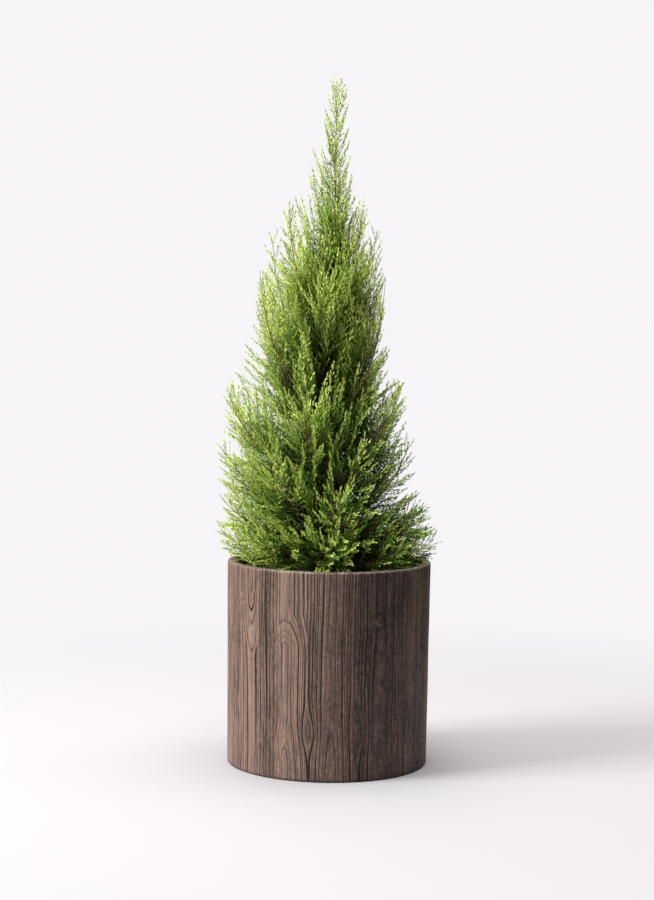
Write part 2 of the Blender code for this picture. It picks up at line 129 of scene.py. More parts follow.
LOWEST_START = math.radians(6)
STEEPEST_END = math.radians(86)
HANDLE = 0.36
SIDE_BOW = 0.008
GOLDEN_TURN = math.radians(137.508)
FOOT_SPIRAL = 0.764
CROWN_SEED = 11
PLUME_SEED = 100
PATH_POINTS = 33
LIMB_END_SHARE = 0.62

# Sprays along a stem
SPRAY_FIRST = 0.006
SPRAY_SPACING = (0.0064, 0.0080)
SPRAY_LENGTH = (0.150, 0.110)
SPRAY_CONE = (0.13, 0.006)
LEADER_CONE = (0.27, 0.004)
FREE_BELOW_TIP = (0.03, 0.20)
FREE_RATE = 0.7
SPRAY_ANGLE = (math.radians(48), math.radians(32))
LEADER_SPACING = 0.0048
LEADER_ANGLE = (math.radians(38), math.radians(28))
SPRAY_CURL = 0.16
SPRAY_LIFT = 0.14
SPRAY_SIZES = (1.0, 0.85, 0.7, 0.55, 0.4)
SPRAY_LEANS = (1.0, 0.65, 0.3)
INNER_SHARE = 0.35
TRUNK_SHOOT_SPACING = 0.0030
TRUNK_SHOOT_LENGTH = (0.120, 0.160)
TRUNK_SHOOT_LEAN = (math.radians(52), math.radians(20))
TURN_JITTER = 0.5
LEAN_JITTER = 0.12
STEM_CUTS = 8
BOUGH_CUTS = 4
TRUNK_CUTS = 24
OVERLAP = 0.040
LIMB_GAP = 0.0012
RIM_GAP = 0.0010
SPRAY_MARGIN = -0.003
TWIGLET_MARGIN = 0.004
TIP_MARGIN = (0.006, 0.024)
TIP_SHARE = 0.72

# Twiglets round a spray, sprigs along both sides of a twiglet and leaves along a sprig
TWIGLET_FIRST = 0.010
TWIGLET_SPACING = 0.0035
TWIGLET_REACH = (0.31, 0.0026, 0.032)
TWIGLET_LEAN = (math.radians(48), math.radians(22))
TWIGLET_WANDER = 0.5
SPRIG_FIRST = 0.0015
SPRIG_SPACING = 0.0025
SPRIG_REACH = (0.30, 0.0006, 0.0062)
SPRIG_LEAN = (math.radians(37), math.radians(15))
SPRIG_WANDER = 0.3
LEAF_STEP = 0.0030
LEAF_LENGTH = 0.0048
LEAF_WIDTH = 0.0020
LEAF_SPLAY = 0.30
LEAF_FOLD = 0.22
PIECE_TRIANGLES = 195000

# Greens from dark to light: the leaves' own tone and painted light and shade, the darkest standing for shade
# inside the crown
LEAF_GREENS_WITH_PAINTED_LIGHT = (
    (0.007, 0.022, 0.002),
    (0.018, 0.052, 0.003),
    (0.042, 0.106, 0.006),
    (0.088, 0.184, 0.012),
    (0.165, 0.282, 0.022),
    (0.270, 0.398, 0.036),
    (0.400, 0.535, 0.074),
    (0.530, 0.645, 0.150),
)
LOW_CROWN = 0.74
LOW_CROWN_MIX = 0.16
LOW_CROWN_RED = 0.79


# The crown's plan, as in the solids

def trunk_share(height):
    """How far up the trunk a height is, from 0 at the soil to 1 at the tip."""
    return min((height - FOOT) / (TRUNK_TOP - FOOT), 1.0)


def trunk_centre(height):
    """Axis of the trunk: a slight lean and one long bow, upright again at the top."""
    share = trunk_share(height)
    lean = Vector((TRUNK_FOOT_X + TRUNK_LEAN * share, 0.0, height))
    return lean + TRUNK_BOW * math.sin(math.pi * share)


def trunk_radius(height):
    shaft = (TRUNK_BASE_RADIUS - TRUNK_TIP_RADIUS) * (1.0 - trunk_share(height)) ** TRUNK_TAPER
    return TRUNK_TIP_RADIUS + shaft + FLARE_SPREAD * math.exp((FOOT - height) / FLARE_HEIGHT)


def crown_at(height):
    """Half width and sideways shift of the crown at a height."""
    heights, widths, shifts = zip(*CROWN)
    return np.interp(height, heights, widths), np.interp(height, heights, shifts)


class Path:
    """A smooth line that can be asked for a point and a direction at any distance along it."""

    def __init__(self, points):
        self.points = np.array([tuple(point) for point in points])
        steps = np.linalg.norm(np.diff(self.points, axis=0), axis=1)
        self.distances = np.concatenate([[0.0], np.cumsum(steps)])
        self.length = self.distances[-1]

    def at(self, distance):
        return Vector([np.interp(distance, self.distances, column) for column in self.points.T])

    def direction(self, distance):
        step = self.length / (2 * PATH_POINTS)
        ahead = self.at(min(distance + step, self.length))
        return (ahead - self.at(max(distance - step, 0.0))).normalized()

    def between(self, start, end, count):
        return [self.at(start + (end - start) * index / (count - 1)) for index in range(count)]


def plume_tips(tier, dice):
    """Tips of a tier's plumes, spaced round an oval whose outermost ones reach left and right."""
    nearest = math.radians(min(tier.turn, 360 / tier.count - tier.turn))
    middle = (tier.left[0] + tier.right[0]) / 2.0
    reach = (tier.right[0] - tier.left[0]) / 2.0
    height = (tier.left[1] + tier.right[1]) / 2.0
    slope = (tier.right[1] - tier.left[1]) / 2.0
    for index in range(tier.count):
        angle = math.radians(tier.turn) + math.tau * index / tier.count
        across = math.cos(angle) / math.cos(nearest)
        inner = 1.0 - min(abs(across), 1.0)
        angle += dice.uniform(-1.0, 1.0) * TURN_SPREAD * inner
        lift = dice.uniform(-1.0, 1.0) * TIP_HEIGHT_SPREAD * inner
        across = math.cos(angle) / math.cos(nearest)
        yield Vector((middle + reach * across, reach * math.sin(angle), height + slope * across + lift))


def stem_path(foot, tip, bow):
    """From the trunk's surface at the height foot, outwards and then up to the tip."""
    centre = trunk_centre(foot)
    outward = Vector((tip.x - centre.x, tip.y - centre.y, 0.0)).normalized()
    start = centre + outward * trunk_radius(foot)
    chord = tip - start
    slope = math.atan2(chord.z, Vector((chord.x, chord.y)).length)
    first = max(slope - START_DROP, LOWEST_START)
    last = min(slope + END_LIFT, STEEPEST_END)
    up = Vector((0.0, 0.0, 1.0))
    handle = HANDLE * chord.length
    leave = start + (outward * math.cos(first) + up * math.sin(first)) * handle
    arrive = tip - (outward * math.cos(last) + up * math.sin(last)) * handle
    points = interpolate_bezier(start, leave, arrive, tip, PATH_POINTS)
    sideways = up.cross(outward)
    for index, point in enumerate(points):
        point += sideways * bow * math.sin(math.pi * index / (PATH_POINTS - 1)) ** 2
    return Path(points), outward


Plume = namedtuple("Plume", "name path outward bare radius seed")


def plan_plumes():
    """Every plume of the crown, with the path of its stem and the bare length below its foliage."""
    dice = random.Random(CROWN_SEED)
    plumes = []
    for tier in TIERS:
        for index, tip in enumerate(plume_tips(tier, dice)):
            foot = tier.foot + tier.rise * ((index * FOOT_SPIRAL) % 1.0)
            bow = dice.uniform(-1.0, 1.0) * SIDE_BOW
            path, outward = stem_path(foot, tip, bow)
            name = f"{tier.name}_{index + 1}"
            bare = tier.bare * path.length
            plumes.append(Plume(name, path, outward, bare, tier.limb_radius, PLUME_SEED + len(plumes)))
    top = trunk_centre(TRUNK_TOP)
    path = Path([top.lerp(LEADER_TIP, share / STEM_CUTS) for share in range(STEM_CUTS + 1)])
    plumes.append(Plume("leader", path, None, 0.0, TRUNK_TIP_RADIUS, PLUME_SEED + len(plumes)))
    return plumes


def segments(lines):
    """Start and end of each straight piece of several lines of points."""
    arrays = [np.array([tuple(point) for point in line]) for line in lines]
    starts = np.concatenate([array[:-1] for array in arrays])
    return starts, np.concatenate([array[1:] for array in arrays])


def distances_to(points, starts, ends):
    """Distance from each point to the nearest place on each segment."""
    run = ends - starts
    share = ((points[:, None] - starts) * run).sum(2) / (run * run).sum(1)
    nearest = starts + run * np.clip(share, 0.0, 1.0)[..., None]
    return np.linalg.norm(points[:, None] - nearest, axis=2)


def in_outline(points, margin):
    """Which points are clear of the planter and the soil and inside the crown's outline, or beside it."""
    height = points[..., 2]
    radius = np.hypot(points[..., 0], points[..., 1])
    floor = np.where(radius < POT_TOP_RADIUS - POT_WALL - RIM_GAP, FOOT, POT_HEIGHT)
    wide, shift = crown_at(height)
    reach = np.hypot(points[..., 0] - shift, points[..., 1])
    low_enough = height < LEADER_TIP.z - 0.008
    return (height > floor + RIM_GAP) & (reach < wide + margin) & low_enough


class Space:
    """Tells whether a spray stays near its own stem, off the limbs and inside the crown."""

    def __init__(self, plumes):
        stems = [plume.path.between(plume.bare, plume.path.length, STEM_CUTS + 1) for plume in plumes]
        boughs = [plume for plume in plumes if plume.bare]
        limbs = [plume.path.between(0.0, plume.bare, BOUGH_CUTS + 1) for plume in boughs]
        radii = [[plume.radius] * BOUGH_CUTS for plume in boughs]
        heights = np.linspace(FOOT, TRUNK_TOP, TRUNK_CUTS + 1)
        limbs.append([trunk_centre(height) for height in heights])
        radii.append([trunk_radius(height) for height in heights[:-1]])
        self.stem_starts, self.stem_ends = segments(stems)
        self.limb_starts, self.limb_ends = segments(limbs)
        self.limb_radii = np.concatenate(radii)
        self.owner = np.repeat(np.arange(len(plumes)), STEM_CUTS)

    def holds(self, points, own, margin):
        if not in_outline(points, margin).all():
            return False
        gaps = distances_to(points, self.limb_starts, self.limb_ends)
        if (gaps < self.limb_radii + LIMB_GAP).any():
            return False
        gaps = distances_to(points, self.stem_starts, self.stem_ends)
        mine = gaps[:, self.owner == own].min(1)
        others = gaps[:, self.owner != own].min(1)
        return bool((mine < others + OVERLAP).all())

    def nearest(self, point):
        """The plume whose stem is nearest to a point."""
        gaps = distances_to(np.array([tuple(point)]), self.stem_starts, self.stem_ends)
        return int(self.owner[gaps[0].argmin()])


# Shoots: root, aim and bend are arrays of vectors, and the point at a share along a shoot is
# root + length * (aim * share + bend * share squared)

Shoots = namedtuple("Shoots", "root aim bend length flat light plume")


def unit(vectors):
    return vectors / np.linalg.norm(vectors, axis=-1, keepdims=True)


def side_of(plume):
    """A level direction across a plume, from which turns round its stem are counted."""
    if plume.outward is None:
        return Vector((1.0, 0.0, 0.0))
    return Vector((0.0, 0.0, 1.0)).cross(plume.outward)


def turned_away(along, side, lean, turn):
    """A direction that leans away from along by an angle, towards side turned round along."""
    across = (side - along * side.dot(along)).normalized()
    over = along.cross(across)
    outward = across * math.cos(turn) + over * math.sin(turn)
    return along * math.cos(lean) + outward * math.sin(lean)


def margin_at(share, height, plain):
    """How far foliage may pass the crown's outline: a plain margin, and more near a plume's tip."""
    return np.where(share > TIP_SHARE, between(TIP_MARGIN, risen(height)), plain)


def fit_spray(space, own, root, along, side, leans, turn, length, margin, dice):
    """The longest spray about a direction that its space holds: aim, bend and length, or None."""
    shares = np.linspace(0.3, 1.0, 6)[:, None]
    for size in SPRAY_SIZES:
        for lean in leans:
            new_turn = turn + dice.uniform(-1.0, 1.0) * TURN_JITTER
            new_lean = lean + dice.uniform(-1.0, 1.0) * LEAN_JITTER
            aim = turned_away(along, side, new_lean, new_turn)
            bend = along * SPRAY_CURL + Vector((0.0, 0.0, SPRAY_LIFT))
            reach = length * size
            points = np.array(root) + reach * (np.array(aim) * shares + np.array(bend) * shares**2)
            if space.holds(points, own, margin):
                return aim, bend, reach
    return None


def between(pair, share):
    """A value between the two of a pair."""
    return pair[0] + (pair[1] - pair[0]) * share


def risen(height):
    """From 0 at the rim to 1 at the leader's tip."""
    return np.clip((height - POT_HEIGHT) / (LEADER_TIP.z - POT_HEIGHT), 0.0, 1.0)


def grow_sprays(plumes):
    """The sprays of every plume and of the trunk, each the longest that its space holds."""
    space = Space(plumes)
    rows = []

    def add(own, root, along, side, leans, turn, length, share, dice):
        margin = margin_at(share, root.z, SPRAY_MARGIN)
        found = fit_spray(space, own, root, along, side, leans, turn, length, margin, dice)
        if found:
            aim, bend, reach = found
            roll = Matrix.Rotation(dice.uniform(-0.9, 0.9), 3, aim)
            flat = roll @ aim.cross(along).cross(aim).normalized()
            rows.append([np.array(root), np.array(aim), np.array(bend), reach, np.array(flat), share, own])

    for own, plume in enumerate(plumes):
        dice = random.Random(plume.seed)
        turn = dice.uniform(0.0, math.tau)
        distance = INNER_SHARE * plume.bare + SPRAY_FIRST
        end = plume.path.length
        while distance < end - 0.004:
            share = max(distance - plume.bare, 0.0) / (end - plume.bare)
            root = plume.path.at(distance)
            lean = between(SPRAY_ANGLE if plume.outward else LEADER_ANGLE, share)
            slope, blunt = SPRAY_CONE if plume.outward else LEADER_CONE
            cone = slope * (end - distance) + blunt
            if plume.outward:
                cone += FREE_RATE * max(end - distance - between(FREE_BELOW_TIP, risen(root.z)), 0.0)
            widest = cone / (math.sin(lean) + slope * math.cos(lean))
            length = min(between(SPRAY_LENGTH, share), widest) * dice.uniform(0.8, 1.1)
            along = plume.path.direction(distance)
            leans = [lean * part for part in SPRAY_LEANS] if plume.outward else [lean]
            add(own, root, along, side_of(plume), leans, turn, length, share, dice)
            spacing = between(SPRAY_SPACING, risen(root.z)) if plume.outward else LEADER_SPACING
            distance += spacing * dice.uniform(0.8, 1.2)
            turn += GOLDEN_TURN
    dice = random.Random(PLUME_SEED - 1)
    turn = 0.0
    up = Vector((0.0, 0.0, 1.0))
    across = Vector((1.0, 0.0, 0.0))
    for height in np.arange(FOOT + FLARE_HEIGHT, TRUNK_TOP, TRUNK_SHOOT_SPACING):
        share = trunk_share(height)
        lean = between(TRUNK_SHOOT_LEAN, share)
        length = between(TRUNK_SHOOT_LENGTH, share) * dice.uniform(0.7, 1.0)
        root = trunk_centre(height)
        own = space.nearest(root + turned_away(up, across, lean, turn) * length)
        add(own, root, up, across, [lean], turn, length, 0.0, dice)
        turn += GOLDEN_TURN
    root, aim, bend, length, flat, share, own = (np.array(column) for column in zip(*rows))
    return Shoots(root, aim, bend, length, flat, share, own)


def branch(parents, first, spacing, reach, lean, wander, roll, dice):
    """Shoots along both sides of their parents in turn, and how far up each parent they stand."""
    counts = np.maximum(np.ceil((parents.length - first) / spacing), 0).astype(int)
    parent = np.repeat(np.arange(len(counts)), counts)
    order = np.arange(counts.sum()) - np.repeat(np.cumsum(counts) - counts, counts)
    distance = first + (order + dice.uniform(0.0, 0.7, len(order))) * spacing
    share = np.minimum(distance / parents.length[parent], 0.99)
    up = share[:, None]
    aim, bend = parents.aim[parent], parents.bend[parent]
    long = parents.length[parent]
    root = parents.root[parent] + long[:, None] * (aim * up + bend * up**2)
    along = unit(aim + 2.0 * bend * up)
    side = unit(np.cross(parents.flat[parent], along))
    over = np.cross(along, side)
    turn = (order * math.pi + dice.normal(0.0, wander, len(order)))[:, None]
    outward = side * np.cos(turn) + over * np.sin(turn)
    angle = (lean[0] + (lean[1] - lean[0]) * share + dice.normal(0.0, 0.10, len(order)))[:, None]
    new_aim = along * np.cos(angle) + outward * np.sin(angle)
    length = np.minimum(reach[0] * long * (1.0 - share) + reach[1], reach[2])
    length *= dice.uniform(0.75, 1.15, len(order))
    across = unit(np.cross(new_aim, along))
    upright = np.cross(across, new_aim)
    rolled = dice.normal(0.0, roll, len(order))[:, None]
    new_flat = upright * np.cos(rolled) + across * np.sin(rolled)
    new_bend = 0.18 * along + np.array((0.0, 0.0, 0.05))
    children = Shoots(root, new_aim, new_bend, length, new_flat, None, parents.plume[parent])
    return children, parent, share


def tips_of(shoots, length):
    """A short shoot on the end of each shoot."""
    aim = unit(shoots.aim + 2.0 * shoots.bend)
    root = ends_of(shoots) - aim * (0.4 * length)
    long = np.full(len(root), length)
    return Shoots(root, aim, np.zeros_like(aim), long, shoots.flat, None, shoots.plume)


def ends_of(shoots):
    return shoots.root + shoots.length[:, None] * (shoots.aim + shoots.bend)


def keep(shoots, mask):
    return Shoots(*(None if field is None else field[mask] for field in shoots))


def join(first, second):
    pairs = zip(first, second)
    return Shoots(*(None if one is None else np.concatenate([one, two]) for one, two in pairs))


def outerness(points):
    """From 0 at the crown's axis to 1 at its outline."""
    wide, shift = crown_at(points[:, 2])
    return np.clip(np.hypot(points[:, 0] - shift, points[:, 1]) / wide, 0.0, 1.0)


def grow_leaves(sprays, dice):
    """Twiglets with the sprigs on them, and for every sprig its shade of green from 0 to 1, with painted light
    and shade by its place in the crown.
    """
    twiglets, parent, share = branch(
        sprays, TWIGLET_FIRST, TWIGLET_SPACING, TWIGLET_REACH, TWIGLET_LEAN, TWIGLET_WANDER, 1.2, dice
    )
    margins = margin_at(sprays.light, sprays.root[:, 2], TWIGLET_MARGIN)
    inside = in_outline(ends_of(twiglets), margins[parent])
    twiglets, parent, share = keep(twiglets, inside), parent[inside], share[inside]
    ends = tips_of(sprays, 0.016)
    tender = np.concatenate([share, np.ones(len(ends.length))])
    high = np.concatenate([sprays.light[parent], sprays.light])
    twiglets = join(twiglets, ends)
    whole = ends_of(twiglets)
    outer = outerness(whole)
    rise = risen(whole[:, 2])
    spray_tone = dice.normal(0.0, 0.13, len(sprays.length))
    # Young growth is lighter towards the tips and higher up. Painted shade darkens the inside of the crown
    # (partly older, darker foliage), the right, the back and most of all the lower right; painted light
    # lightens the left and front.
    light = 0.21 + 0.28 * rise + 0.66 * tender + 0.06 * high - 1.0 * (1.0 - outer) * (1.0 - 0.8 * rise)
    light += np.concatenate([spray_tone[parent], spray_tone])
    light -= (1.5 - 0.8 * rise) * whole[:, 0] + 0.85 * whole[:, 1]
    light -= 1.5 * (1.0 - rise) * np.maximum(whole[:, 0], 0.0)
    light += dice.normal(0.0, 0.04, len(light))
    sprigs, parent, share = branch(
        twiglets, SPRIG_FIRST, SPRIG_SPACING, SPRIG_REACH, SPRIG_LEAN, SPRIG_WANDER, 0.8, dice
    )
    ends = tips_of(twiglets, 0.0065)
    light = np.concatenate([light[parent] - 0.20 + 0.52 * share, light + 0.30])
    light += dice.normal(0.0, 0.11, len(light))
    return twiglets, join(sprigs, ends), np.clip(light, 0.0, 0.999)


def leaf_blades(sprigs, light, dice):
    """Corners of folded leaves along every sprig, four to a leaf, with each leaf's shade and plume."""
    counts = np.maximum(np.round(sprigs.length / LEAF_STEP), 1).astype(int)
    parent = np.repeat(np.arange(len(counts)), counts)
    order = np.arange(counts.sum()) - np.repeat(np.cumsum(counts) - counts, counts)
    share = order / counts[parent]
    last = order == counts[parent] - 1
    aim, bend = sprigs.aim[parent], sprigs.bend[parent]
    long = sprigs.length[parent][:, None]
    up = share[:, None]
    root = sprigs.root[parent] + long * (aim * up + bend * up**2)
    along = unit(aim + 2.0 * bend * up)
    flat = sprigs.flat[parent]
    side = unit(np.cross(flat, along))
    splay = np.where(last, 0.06, LEAF_SPLAY) * np.where(order % 2 == 0, 1.0, -1.0)
    lift = dice.normal(0.0, 0.25, len(order))
    aim = unit(along + side * splay[:, None] + flat * (lift * ~last)[:, None])
    roll = dice.uniform(0.0, math.pi, len(order))
    across = unit(np.cross(aim, flat + 0.01 * side))
    over = np.cross(across, aim)
    face = across * np.sin(roll)[:, None] + over * np.cos(roll)[:, None]
    edge = np.cross(face, aim)
    size = dice.uniform(0.8, 1.2, len(order))[:, None]
    tip = root + aim * (LEAF_LENGTH * size)
    middle = root + aim * (0.45 * LEAF_LENGTH * size)
    half = 0.5 * LEAF_WIDTH * size
    fold = face * (LEAF_FOLD * LEAF_WIDTH * size)
    corners = np.stack([root, middle + edge * half + fold, tip, middle - edge * half + fold], axis=1)
    return corners, light[parent], sprigs.plume[parent]


# Meshes

def mesh_object(name, vertices, faces, materials, indices=None):
    """An object with a smooth mesh from arrays, every face with the same number of corners."""
    mesh = bpy.data.meshes.new(name)
    mesh.vertices.add(len(vertices))
    mesh.vertices.foreach_set("co", np.asarray(vertices, dtype=np.float32).ravel())
    mesh.loops.add(faces.size)
    mesh.loops.foreach_set("vertex_index", np.asarray(faces, dtype=np.int32).ravel())
    mesh.polygons.add(len(faces))
    mesh.polygons.foreach_set("loop_start", np.arange(0, faces.size, faces.shape[1], dtype=np.int32))
    for material in materials:
        mesh.materials.append(material)
    if indices is not None:
        mesh.polygons.foreach_set("material_index", np.asarray(indices, dtype=np.int32))
    mesh.update(calc_edges=True)
    mesh.shade_smooth()
    item = bpy.data.objects.new(name, mesh)
    bpy.context.scene.collection.objects.link(item)
    return item


def tube_mesh(points, radii, sides):
    """Vertices and quads of tubes along many lines at once. points is lines by stops by three."""
    along = np.gradient(points, axis=1)
    along = unit(along)
    lead = unit(points[:, -1] - points[:, 0])
    guide = np.where(np.abs(lead[:, 2:]) < 0.9, np.array((0.0, 0.0, 1.0)), np.array((1.0, 0.0, 0.0)))
    across = unit(np.cross(along, guide[:, None]))
    over = np.cross(along, across)
    angles = math.tau * np.arange(sides) / sides
    ring = across[:, :, None] * np.cos(angles)[:, None] + over[:, :, None] * np.sin(angles)[:, None]
    vertices = points[:, :, None] + ring * radii[..., None, None]
    lines, stops = points.shape[:2]
    start = (np.arange(lines)[:, None] * stops + np.arange(stops - 1)) * sides
    low = start[..., None] + np.arange(sides)
    after = start[..., None] + (np.arange(sides) + 1) % sides
    quads = np.stack([low, after, after + sides, low + sides], axis=-1)
    return vertices.reshape(-1, 3), quads.reshape(-1, 4)


def spike_mesh(root, tip, radius):
    """Vertices and triangles of thin three-sided spikes."""
    along = unit(tip - root)
    guide = np.where(np.abs(along[:, 2:]) < 0.9, np.array((0.0, 0.0, 1.0)), np.array((1.0, 0.0, 0.0)))
    across = unit(np.cross(along, guide))
    over = np.cross(along, across)
    corners = []
    for angle in (0.0, math.tau / 3.0, 2.0 * math.tau / 3.0):
        corners.append(root + (across * math.cos(angle) + over * math.sin(angle)) * radius[:, None])
    corners.append(tip)
    vertices = np.stack(corners, axis=1).reshape(-1, 3)
    first = 4 * np.arange(len(root))[:, None]
    faces = np.stack([first + (0, 1, 3), first + (1, 2, 3), first + (2, 0, 3)], axis=1)
    return vertices, faces.reshape(-1, 3)


# Materials

def new_material(name, colour, roughness, specular=0.4):
    material = bpy.data.materials.new(name)
    material.use_nodes = True
    shader = material.node_tree.nodes["Principled BSDF"]
    shader.inputs["Base Color"].default_value = (*colour, 1.0)
    shader.inputs["Roughness"].default_value = roughness
    shader.inputs["Specular IOR Level"].default_value = specular
    return material, material.node_tree, shader


class Signal:
    """A value in a node tree that sums can be written with."""

    def __init__(self, tree, socket):
        self.tree = tree
        self.socket = socket

    def __add__(self, other):
        return combine("ADD", self, other)

    def __radd__(self, other):
        return combine("ADD", self, other)

    def __sub__(self, other):
        return combine("SUBTRACT", self, other)

    def __rsub__(self, other):
        return combine("SUBTRACT", other, self)

    def __mul__(self, other):
        return combine("MULTIPLY", self, other)

    def __rmul__(self, other):
        return combine("MULTIPLY", self, other)

    def __truediv__(self, other):
        return combine("DIVIDE", self, other)


def combine(operation, *values):
    """A math node on signals and numbers."""
    tree = next(value.tree for value in values if isinstance(value, Signal))
    node = tree.nodes.new("ShaderNodeMath")
    node.operation = operation
    for socket, value in zip(node.inputs, values):
        if isinstance(value, Signal):
            tree.links.new(value.socket, socket)
        else:
            socket.default_value = value
    return Signal(tree, node.outputs[0])


def either(operation, function):
    """A function that works on arrays as well as on signals."""

    def work(*values):
        if any(isinstance(value, Signal) for value in values):
            return combine(operation, *values)
        return function(*values)

    return work


sine = either("SINE", np.sin)
cosine = either("COSINE", np.cos)
root_of = either("SQRT", np.sqrt)
exponent = either("EXPONENT", np.exp)
floor_of = either("FLOOR", np.floor)
size_of = either("ABSOLUTE", np.abs)
lesser = either("MINIMUM", np.minimum)
greater = either("MAXIMUM", np.maximum)
angle_of = either("ARCTAN2", np.arctan2)


def limited(value):
    return lesser(greater(value, 0.0), 1.0)


def smooth(value):
    """Eases a value from 0 to 1."""
    value = limited(value)
    return value * value * (3.0 - 2.0 * value)


def mixed(tree, factor, one, other):
    """Colour between one and other."""
    node = tree.nodes.new("ShaderNodeMix")
    node.data_type = "RGBA"
    slots = {"Factor": factor, "A": one, "B": other}
    for socket in node.inputs:
        if not socket.enabled or socket.name not in slots:
            continue
        value = slots[socket.name]
        if isinstance(value, Signal):
            tree.links.new(value.socket, socket)
        elif isinstance(value, float):
            socket.default_value = value
        else:
            socket.default_value = (*value, 1.0)
    result = next(socket for socket in node.outputs if socket.enabled)
    return Signal(tree, result)


def position(tree):
    """The place on the object, as three signals."""
    coordinates = tree.nodes.new("ShaderNodeTexCoord")
    split = tree.nodes.new("ShaderNodeSeparateXYZ")
    tree.links.new(coordinates.outputs["Object"], split.inputs[0])
    return [Signal(tree, socket) for socket in split.outputs]


def noise(tree, place, scale, detail=3.0, roughness=0.55):
    """A noise of a place given as three signals, from 0 to 1."""
    gather = tree.nodes.new("ShaderNodeCombineXYZ")
    for socket, signal in zip(gather.inputs, place):
        tree.links.new(signal.socket, socket)
    texture = tree.nodes.new("ShaderNodeTexNoise")
    texture.inputs["Scale"].default_value = scale
    texture.inputs["Detail"].default_value = detail
    texture.inputs["Roughness"].default_value = roughness
    tree.links.new(gather.outputs[0], texture.inputs["Vector"])
    return Signal(tree, texture.outputs["Fac"])


def set_bump(tree, shader, height, distance, strength=1.0):
    bump = tree.nodes.new("ShaderNodeBump")
    bump.inputs["Distance"].default_value = distance
    bump.inputs["Strength"].default_value = strength
    tree.links.new(height.socket, bump.inputs["Height"])
    tree.links.new(bump.outputs["Normal"], shader.inputs["Normal"])


def set_input(tree, shader, name, signal):
    tree.links.new(signal.socket, shader.inputs[name])


# Wood grain of the planter: rings of a trunk cut lengthways, as boards side by side

RELIEF = 0.0015
GRAIN_SPACING = 0.0046
GRAIN_WIDTH = 0.25
BOARD_BLEND = 4000.0

# Angle of a board's middle, its tone, how calm its middle is, and its heart: heights with how deep it
# lies there
Board = namedtuple("Board", "turn tone calm heart")
BOARDS = (
    Board(-74.0, 0.86, 0.6, ((0.0, 0.017), (0.378, 0.021))),
    Board(-47.5, 1.00, 0.0, ((0.0, 0.0235), (0.221, 0.0225), (0.290, 0.013), (0.345, 0.001))),
    Board(-36.0, 0.44, 0.0, ((0.0, 0.003), (0.200, 0.003), (0.378, 0.002))),
    Board(-24.0, 1.02, 0.6, ((0.035, 0.001), (0.105, 0.016), (0.245, 0.016), (0.300, 0.034))),
    Board(2.5, 0.54, 0.7, ((0.0, 0.011), (0.120, 0.018), (0.378, 0.019))),
    Board(29.5, 0.29, 0.3, ((0.0, 0.018), (0.170, 0.016), (0.280, 0.020))),
    Board(53.0, 0.34, 0.7, ((0.0, 0.023), (0.378, 0.020))),
    Board(77.0, 0.30, 0.6, ((0.0, 0.016), (0.200, 0.018))),
    Board(102.0, 0.60, 0.2, ((0.020, 0.026), (0.110, 0.002), (0.190, 0.004), (0.300, 0.026))),
    Board(126.0, 0.36, 0.6, ((0.0, 0.018), (0.378, 0.022))),
    Board(151.0, 0.70, 0.8, ((0.060, 0.018), (0.240, 0.012), (0.340, 0.034))),
    Board(177.0, 0.45, 0.4, ((0.0, 0.016), (0.200, 0.020))),
    Board(-159.0, 0.62, 0.0, ((0.100, 0.022), (0.260, 0.016), (0.350, 0.002))),
    Board(-136.0, 0.42, 0.7, ((0.040, 0.002), (0.120, 0.018), (0.378, 0.020))),
    Board(-113.0, 0.72, 0.8, ((0.0, 0.020), (0.378, 0.017))),
    Board(-94.0, 0.55, 0.4, ((0.0, 0.012), (0.220, 0.014), (0.350, 0.030))),
)

# Knots: angle, height, how far they push the rings, half width and half height
Knot = namedtuple("Knot", "turn height push wide tall")
KNOTS = (
    Knot(-10.5, 0.089, 0.013, 0.013, 0.030),
    Knot(18.7, 0.089, 0.014, 0.014, 0.034),
    Knot(29.2, 0.287, 0.005, 0.006, 0.014),
    Knot(31.0, 0.176, 0.005, 0.006, 0.013),
    Knot(28.6, 0.043, 0.006, 0.007, 0.014),
    Knot(88.0, 0.210, 0.013, 0.013, 0.032),
    Knot(115.0, 0.110, 0.007, 0.008, 0.018),
    Knot(140.0, 0.300, 0.012, 0.012, 0.028),
    Knot(166.0, 0.060, 0.006, 0.007, 0.015),
    Knot(-170.0, 0.240, 0.013, 0.013, 0.032),
    Knot(-147.0, 0.140, 0.006, 0.007, 0.015),
    Knot(-124.0, 0.310, 0.011, 0.011, 0.026),
    Knot(-104.0, 0.080, 0.012, 0.012, 0.029),
    Knot(-84.0, 0.220, 0.005, 0.006, 0.014),
)


def bump_at(value, middle, spread):
    offset = (value - middle) / spread
    return exponent(offset * offset * -1.0)


def squared_run(turn, middle):
    """Square of the distance round the planter from an angle in degrees."""
    return (1.0 - cosine(turn - math.radians(middle))) * (2.0 * POT_TOP_RADIUS**2)


